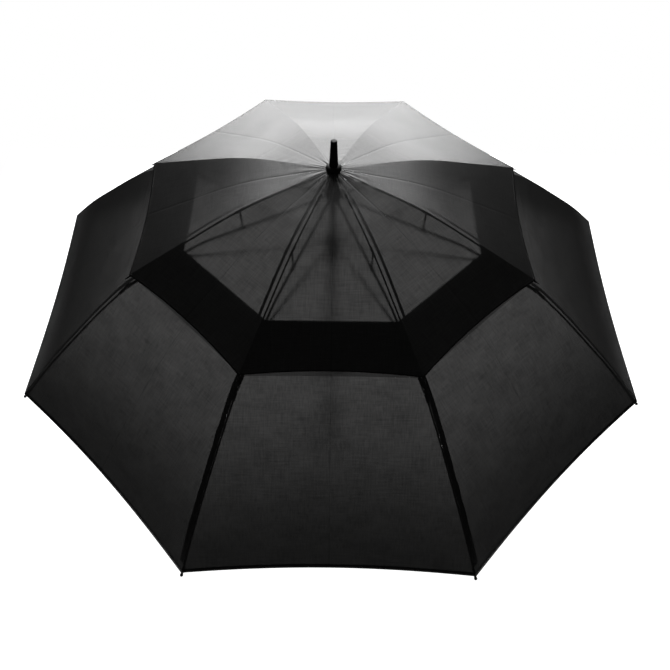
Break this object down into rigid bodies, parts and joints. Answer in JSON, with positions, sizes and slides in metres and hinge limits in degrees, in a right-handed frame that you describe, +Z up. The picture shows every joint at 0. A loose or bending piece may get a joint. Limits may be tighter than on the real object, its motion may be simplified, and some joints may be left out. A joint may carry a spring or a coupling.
{
  "type": "golf umbrella",
  "caption": "Large straight umbrella with a vented double canopy on a folding frame of ribs and stretchers that a sliding runner opens and closes.",
  "frame": {"origin": "centre of the handle's bottom end", "axes": "+Z up the shaft to the spike, with the middle of one canopy gore at the front, -Y"},
  "size_m": [1.2062, 1.2062, 1],
  "materials": {
    "cloth": "thin plain weave, slightly see-through, faint sheen",
    "rod": "black glass-fibre rod with black clips",
    "shaft": "black glass-fibre tube, satin",
    "moulding": "black moulded plastic",
    "wire": "bright drawn wire",
    "grip": "soft matt grip"
  },
  "bodies": {
    "shaft": {"shaft_tube": "shaft", "ferrule": "moulding", "canopy_washer": "moulding", "crown_notch": "moulding", "crown_wire": "wire", "shaft_pins": "wire", "handle_grip": "grip", "handle_trim": "moulding"},
    "runner": {"runner": "moulding", "runner_wire": "wire"},
    "top_catch": {"top_catch": "wire"},
    "bottom_catch": {"bottom_catch": "wire"},
    "rib_inner_1": {"rib_inner_1": "rod", "vent_rib_1": "rod", "vent_canopy_1": "cloth"},
    "rib_outer_1": {"rib_outer_1": "rod", "main_canopy_1": "cloth"},
    "stretcher_1": {"stretcher_1": "rod"},
    "rib_inner_2": {"rib_inner_2": "rod", "vent_rib_2": "rod", "vent_canopy_2": "cloth"},
    "rib_outer_2": {"rib_outer_2": "rod", "main_canopy_2": "cloth"},
    "stretcher_2": {"stretcher_2": "rod"},
    "rib_inner_3": {"rib_inner_3": "rod", "vent_rib_3": "rod", "vent_canopy_3": "cloth"},
    "rib_outer_3": {"rib_outer_3": "rod", "main_canopy_3": "cloth"},
    "stretcher_3": {"stretcher_3": "rod"},
    "rib_inner_4": {"rib_inner_4": "rod", "vent_rib_4": "rod", "vent_canopy_4": "cloth"},
    "rib_outer_4": {"rib_outer_4": "rod", "main_canopy_4": "cloth"},
    "stretcher_4": {"stretcher_4": "rod"},
    "rib_inner_5": {"rib_inner_5": "rod", "vent_rib_5": "rod", "vent_canopy_5": "cloth"},
    "rib_outer_5": {"rib_outer_5": "rod", "main_canopy_5": "cloth"},
    "stretcher_5": {"stretcher_5": "rod"},
    "rib_inner_6": {"rib_inner_6": "rod", "vent_rib_6": "rod", "vent_canopy_6": "cloth"},
    "rib_outer_6": {"rib_outer_6": "rod", "main_canopy_6": "cloth"},
    "stretcher_6": {"stretcher_6": "rod"},
    "rib_inner_7": {"rib_inner_7": "rod", "vent_rib_7": "rod", "vent_canopy_7": "cloth"},
    "rib_outer_7": {"rib_outer_7": "rod", "main_canopy_7": "cloth"},
    "stretcher_7": {"stretcher_7": "rod"},
    "rib_inner_8": {"rib_inner_8": "rod", "vent_rib_8": "rod", "vent_canopy_8": "cloth"},
    "rib_outer_8": {"rib_outer_8": "rod", "main_canopy_8": "cloth"},
    "stretcher_8": {"stretcher_8": "rod"}
  },
  "joints": [
    {"name": "canopy_fold", "type": "hinge", "parent": "shaft", "child": "rib_inner_1", "pos_m": [0.01155, 0.00478, 0.88], "axis": [-0.3827, 0.9239, 0], "range_deg": [0, 73], "deforming": ["vent_canopy_1"]},
    {"name": "rib_fold_2", "type": "hinge", "parent": "shaft", "child": "rib_inner_2", "pos_m": [0.00478, 0.01155, 0.88], "axis": [-0.9239, 0.3827, 0], "range_deg": [0, 73], "deforming": ["vent_canopy_2"]},
    {"name": "rib_fold_3", "type": "hinge", "parent": "shaft", "child": "rib_inner_3", "pos_m": [-0.00478, 0.01155, 0.88], "axis": [-0.9239, -0.3827, 0], "range_deg": [0, 73], "deforming": ["vent_canopy_3"]},
    {"name": "rib_fold_4", "type": "hinge", "parent": "shaft", "child": "rib_inner_4", "pos_m": [-0.01155, 0.00478, 0.88], "axis": [-0.3827, -0.9239, 0], "range_deg": [0, 73], "deforming": ["vent_canopy_4"]},
    {"name": "rib_fold_5", "type": "hinge", "parent": "shaft", "child": "rib_inner_5", "pos_m": [-0.01155, -0.00478, 0.88], "axis": [0.3827, -0.9239, 0], "range_deg": [0, 73], "deforming": ["vent_canopy_5"]},
    {"name": "rib_fold_6", "type": "hinge", "parent": "shaft", "child": "rib_inner_6", "pos_m": [-0.00478, -0.01155, 0.88], "axis": [0.9239, -0.3827, 0], "range_deg": [0, 73], "deforming": ["vent_canopy_6"]},
    {"name": "rib_fold_7", "type": "hinge", "parent": "shaft", "child": "rib_inner_7", "pos_m": [0.00478, -0.01155, 0.88], "axis": [0.9239, 0.3827, 0], "range_deg": [0, 73], "deforming": ["vent_canopy_7"]},
    {"name": "rib_fold_8", "type": "hinge", "parent": "shaft", "child": "rib_inner_8", "pos_m": [0.01155, -0.00478, 0.88], "axis": [0.3827, 0.9239, 0], "range_deg": [0, 73], "deforming": ["vent_canopy_8"]},
    {"name": "stretcher_swing_1", "type": "hinge", "parent": "rib_inner_1", "child": "stretcher_1", "pos_m": [0.2707, 0.11213, 0.821], "axis": [-0.3827, 0.9239, 0], "range_deg": [-146, 0]},
    {"name": "stretcher_swing_2", "type": "hinge", "parent": "rib_inner_2", "child": "stretcher_2", "pos_m": [0.11213, 0.2707, 0.821], "axis": [-0.9239, 0.3827, 0], "range_deg": [-146, 0]},
    {"name": "stretcher_swing_3", "type": "hinge", "parent": "rib_inner_3", "child": "stretcher_3", "pos_m": [-0.11213, 0.2707, 0.821], "axis": [-0.9239, -0.3827, 0], "range_deg": [-146, 0]},
    {"name": "stretcher_swing_4", "type": "hinge", "parent": "rib_inner_4", "child": "stretcher_4", "pos_m": [-0.2707, 0.11213, 0.821], "axis": [-0.3827, -0.9239, 0], "range_deg": [-146, 0]},
    {"name": "stretcher_swing_5", "type": "hinge", "parent": "rib_inner_5", "child": "stretcher_5", "pos_m": [-0.2707, -0.11213, 0.821], "axis": [0.3827, -0.9239, 0], "range_deg": [-146, 0]},
    {"name": "stretcher_swing_6", "type": "hinge", "parent": "rib_inner_6", "child": "stretcher_6", "pos_m": [-0.11213, -0.2707, 0.821], "axis": [0.9239, -0.3827, 0], "range_deg": [-146, 0]},
    {"name": "stretcher_swing_7", "type": "hinge", "parent": "rib_inner_7", "child": "stretcher_7", "pos_m": [0.11213, -0.2707, 0.821], "axis": [0.9239, 0.3827, 0], "range_deg": [-146, 0]},
    {"name": "stretcher_swing_8", "type": "hinge", "parent": "rib_inner_8", "child": "stretcher_8", "pos_m": [0.2707, -0.11213, 0.821], "axis": [0.3827, 0.9239, 0], "range_deg": [-146, 0]},
    {"name": "rib_flex_1", "type": "hinge", "parent": "rib_inner_1", "child": "rib_outer_1", "pos_m": [0.37417, 0.15499, 0.784], "axis": [-0.3827, 0.9239, 0], "range_deg": [-21.9, 0], "deforming": ["main_canopy_1"]},
    {"name": "rib_flex_2", "type": "hinge", "parent": "rib_inner_2", "child": "rib_outer_2", "pos_m": [0.15499, 0.37417, 0.784], "axis": [-0.9239, 0.3827, 0], "range_deg": [-21.9, 0], "deforming": ["main_canopy_2"]},
    {"name": "rib_flex_3", "type": "hinge", "parent": "rib_inner_3", "child": "rib_outer_3", "pos_m": [-0.15499, 0.37417, 0.784], "axis": [-0.9239, -0.3827, 0], "range_deg": [-21.9, 0], "deforming": ["main_canopy_3"]},
    {"name": "rib_flex_4", "type": "hinge", "parent": "rib_inner_4", "child": "rib_outer_4", "pos_m": [-0.37417, 0.15499, 0.784], "axis": [-0.3827, -0.9239, 0], "range_deg": [-21.9, 0], "deforming": ["main_canopy_4"]},
    {"name": "rib_flex_5", "type": "hinge", "parent": "rib_inner_5", "child": "rib_outer_5", "pos_m": [-0.37417, -0.15499, 0.784], "axis": [0.3827, -0.9239, 0], "range_deg": [-21.9, 0], "deforming": ["main_canopy_5"]},
    {"name": "rib_flex_6", "type": "hinge", "parent": "rib_inner_6", "child": "rib_outer_6", "pos_m": [-0.15499, -0.37417, 0.784], "axis": [0.9239, -0.3827, 0], "range_deg": [-21.9, 0], "deforming": ["main_canopy_6"]},
    {"name": "rib_flex_7", "type": "hinge", "parent": "rib_inner_7", "child": "rib_outer_7", "pos_m": [0.15499, -0.37417, 0.784], "axis": [0.9239, 0.3827, 0], "range_deg": [-21.9, 0], "deforming": ["main_canopy_7"]},
    {"name": "rib_flex_8", "type": "hinge", "parent": "rib_inner_8", "child": "rib_outer_8", "pos_m": [0.37417, -0.15499, 0.784], "axis": [0.3827, 0.9239, 0], "range_deg": [-21.9, 0], "deforming": ["main_canopy_8"]},
    {"name": "runner_travel", "type": "hinge", "parent": "stretcher_1", "child": "runner", "pos_m": [0.01155, 0.00478, 0.762], "axis": [-0.3827, 0.9239, 0], "range_deg": [0, 73]},
    {"name": "top_catch_press", "type": "hinge", "parent": "shaft", "child": "top_catch", "pos_m": [0, -0.004, 0.655], "axis": [-1, 0, 0], "range_deg": [0, 3.2], "stiffness_Nm_per_rad": 0.3, "deforming": ["top_catch"]},
    {"name": "bottom_catch_press", "type": "hinge", "parent": "shaft", "child": "bottom_catch", "pos_m": [0, -0.004, 0.374], "axis": [1, 0, 0], "range_deg": [0, 3.2], "stiffness_Nm_per_rad": 0.3, "deforming": ["bottom_catch"]}
  ],
  "couplings": [
    {"joint": "rib_fold_2", "follows": "canopy_fold", "ratio": 1},
    {"joint": "rib_fold_3", "follows": "canopy_fold", "ratio": 1},
    {"joint": "rib_fold_4", "follows": "canopy_fold", "ratio": 1},
    {"joint": "rib_fold_5", "follows": "canopy_fold", "ratio": 1},
    {"joint": "rib_fold_6", "follows": "canopy_fold", "ratio": 1},
    {"joint": "rib_fold_7", "follows": "canopy_fold", "ratio": 1},
    {"joint": "rib_fold_8", "follows": "canopy_fold", "ratio": 1},
    {"joint": "stretcher_swing_1", "follows": "canopy_fold", "ratio": -2},
    {"joint": "stretcher_swing_2", "follows": "canopy_fold", "ratio": -2},
    {"joint": "stretcher_swing_3", "follows": "canopy_fold", "ratio": -2},
    {"joint": "stretcher_swing_4", "follows": "canopy_fold", "ratio": -2},
    {"joint": "stretcher_swing_5", "follows": "canopy_fold", "ratio": -2},
    {"joint": "stretcher_swing_6", "follows": "canopy_fold", "ratio": -2},
    {"joint": "stretcher_swing_7", "follows": "canopy_fold", "ratio": -2},
    {"joint": "stretcher_swing_8", "follows": "canopy_fold", "ratio": -2},
    {"joint": "rib_flex_1", "follows": "canopy_fold", "ratio": -0.3},
    {"joint": "rib_flex_2", "follows": "canopy_fold", "ratio": -0.3},
    {"joint": "rib_flex_3", "follows": "canopy_fold", "ratio": -0.3},
    {"joint": "rib_flex_4", "follows": "canopy_fold", "ratio": -0.3},
    {"joint": "rib_flex_5", "follows": "canopy_fold", "ratio": -0.3},
    {"joint": "rib_flex_6", "follows": "canopy_fold", "ratio": -0.3},
    {"joint": "rib_flex_7", "follows": "canopy_fold", "ratio": -0.3},
    {"joint": "rib_flex_8", "follows": "canopy_fold", "ratio": -0.3},
    {"joint": "runner_travel", "follows": "canopy_fold", "ratio": 1}
  ]
}
